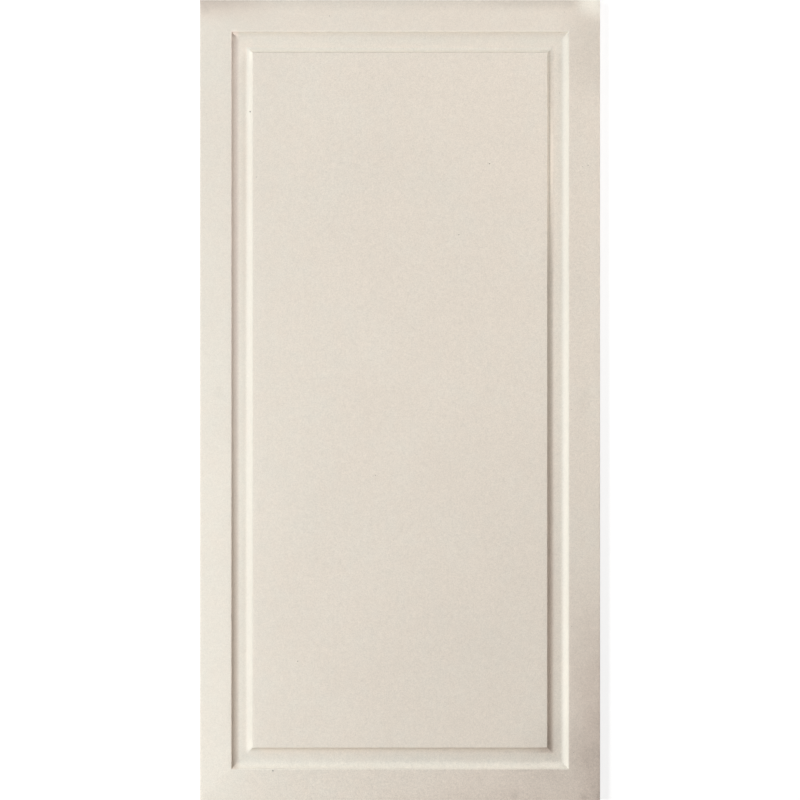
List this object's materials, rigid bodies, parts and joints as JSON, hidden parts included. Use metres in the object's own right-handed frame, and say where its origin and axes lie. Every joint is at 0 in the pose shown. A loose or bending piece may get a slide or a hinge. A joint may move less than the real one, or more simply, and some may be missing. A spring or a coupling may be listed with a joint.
{
  "type": "wainscot panel",
  "caption": "Flat rectangular ceramic wall panel: its face has a slightly falling border and a sunk frame groove with coved flanks and mitred corners, its back a shallow lattice for adhesive.",
  "frame": {"origin": "centre of the back face, in the plane of the wall", "axes": "+X to the right of the panel as it is hung, +Y up the panel as it is hung, +Z out of the wall through the face"},
  "size_m": [0.3, 0.6, 0.012],
  "materials": {
    "matt_glazed_ceramic": "matt, fine sandy stone-like glaze on the face and upper edges, bare fired body on the back"
  },
  "bodies": {
    "root": {"wainscot_panel": "matt_glazed_ceramic"}
  },
  "joints": []
}
